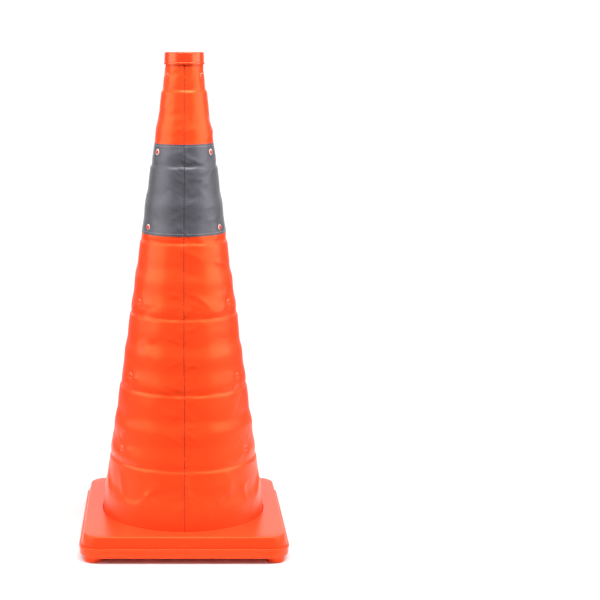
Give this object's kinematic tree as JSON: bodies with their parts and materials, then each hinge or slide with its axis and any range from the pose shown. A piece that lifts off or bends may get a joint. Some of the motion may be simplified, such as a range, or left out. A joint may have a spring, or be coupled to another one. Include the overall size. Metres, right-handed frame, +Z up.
{
  "type": "collapsible traffic cone",
  "caption": "Collapsible traffic cone with a fabric cover and a reflective band on telescoping rings, over a square hollow base on round feet, with a lamp socket in the cap.",
  "frame": {"origin": "on the ground under the middle of the cone, at the feet's bottom", "axes": "+Z up along the cone's axis, -Y towards the cover's seam (front), +X to the right"},
  "size_m": [0.295, 0.295, 0.7015],
  "materials": {
    "cover_fabric": "coated woven polyester",
    "band_fabric": "grey retroreflective cloth",
    "base_plastic": "satin moulded",
    "foot_plastic": "satin moulded",
    "cap_plastic": "satin moulded",
    "rivet_plastic": "moulded",
    "ring_plastic": "moulded",
    "steel": "plated"
  },
  "bodies": {
    "base": {"base_bottom_shell": "base_plastic", "base_top_shell": "base_plastic", "base_collar": "ring_plastic", "collar_screws": "steel", "hem_ring": "base_plastic", "cover_lower": "cover_fabric", "foot_front_left": "foot_plastic", "foot_front_right": "foot_plastic", "foot_rear_left": "foot_plastic", "foot_rear_right": "foot_plastic", "base_screws": "steel"},
    "tier_12": {"ring_12": "ring_plastic"},
    "tier_11": {"ring_11": "ring_plastic", "rivets_11": "rivet_plastic", "washers_11": "steel"},
    "tier_10": {"ring_10": "ring_plastic"},
    "tier_09": {"ring_09": "ring_plastic", "rivets_09": "rivet_plastic", "washers_09": "steel"},
    "tier_08": {"ring_08": "ring_plastic"},
    "tier_07": {"ring_07": "ring_plastic", "rivets_07": "rivet_plastic", "washers_07": "steel"},
    "tier_06": {"ring_06": "ring_plastic"},
    "tier_05": {"ring_05": "ring_plastic", "rivets_05": "rivet_plastic", "washers_05": "steel", "reflective_band": "band_fabric"},
    "tier_04": {"ring_04": "ring_plastic"},
    "tier_03": {"ring_03": "ring_plastic", "rivets_03": "rivet_plastic", "washers_03": "steel"},
    "tier_02": {"ring_02": "ring_plastic"},
    "tier_01": {"ring_01": "ring_plastic", "rivets_01": "rivet_plastic", "washers_01": "steel", "cap": "cap_plastic", "lamp_socket": "cap_plastic", "cap_clamp_ring": "cap_plastic", "cover_upper": "cover_fabric"}
  },
  "joints": [
    {"name": "collapse", "type": "slide", "parent": "base", "child": "tier_12", "axis": [0, 0, 1], "range_m": [-0.0528, 0], "deforming": ["cover_lower", "reflective_band", "cover_upper"]},
    {"name": "tier_11_slide", "type": "slide", "parent": "tier_12", "child": "tier_11", "axis": [0, 0, 1], "range_m": [-0.0528, 0]},
    {"name": "tier_10_slide", "type": "slide", "parent": "tier_11", "child": "tier_10", "axis": [0, 0, 1], "range_m": [-0.0528, 0]},
    {"name": "tier_09_slide", "type": "slide", "parent": "tier_10", "child": "tier_09", "axis": [0, 0, 1], "range_m": [-0.0528, 0]},
    {"name": "tier_08_slide", "type": "slide", "parent": "tier_09", "child": "tier_08", "axis": [0, 0, 1], "range_m": [-0.0528, 0]},
    {"name": "tier_07_slide", "type": "slide", "parent": "tier_08", "child": "tier_07", "axis": [0, 0, 1], "range_m": [-0.0528, 0]},
    {"name": "tier_06_slide", "type": "slide", "parent": "tier_07", "child": "tier_06", "axis": [0, 0, 1], "range_m": [-0.0528, 0]},
    {"name": "tier_05_slide", "type": "slide", "parent": "tier_06", "child": "tier_05", "axis": [0, 0, 1], "range_m": [-0.0528, 0]},
    {"name": "tier_04_slide", "type": "slide", "parent": "tier_05", "child": "tier_04", "axis": [0, 0, 1], "range_m": [-0.0528, 0]},
    {"name": "tier_03_slide", "type": "slide", "parent": "tier_04", "child": "tier_03", "axis": [0, 0, 1], "range_m": [-0.0528, 0]},
    {"name": "tier_02_slide", "type": "slide", "parent": "tier_03", "child": "tier_02", "axis": [0, 0, 1], "range_m": [-0.0528, 0]},
    {"name": "tier_01_slide", "type": "slide", "parent": "tier_02", "child": "tier_01", "axis": [0, 0, 1], "range_m": [-0.0528, 0]}
  ],
  "couplings": [
    {"joint": "tier_11_slide", "follows": "collapse", "ratio": 1},
    {"joint": "tier_10_slide", "follows": "collapse", "ratio": 1},
    {"joint": "tier_09_slide", "follows": "collapse", "ratio": 1},
    {"joint": "tier_08_slide", "follows": "collapse", "ratio": 1},
    {"joint": "tier_07_slide", "follows": "collapse", "ratio": 1},
    {"joint": "tier_06_slide", "follows": "collapse", "ratio": 1},
    {"joint": "tier_05_slide", "follows": "collapse", "ratio": 1},
    {"joint": "tier_04_slide", "follows": "collapse", "ratio": 1},
    {"joint": "tier_03_slide", "follows": "collapse", "ratio": 1},
    {"joint": "tier_02_slide", "follows": "collapse", "ratio": 1},
    {"joint": "tier_01_slide", "follows": "collapse", "ratio": 1}
  ]
}
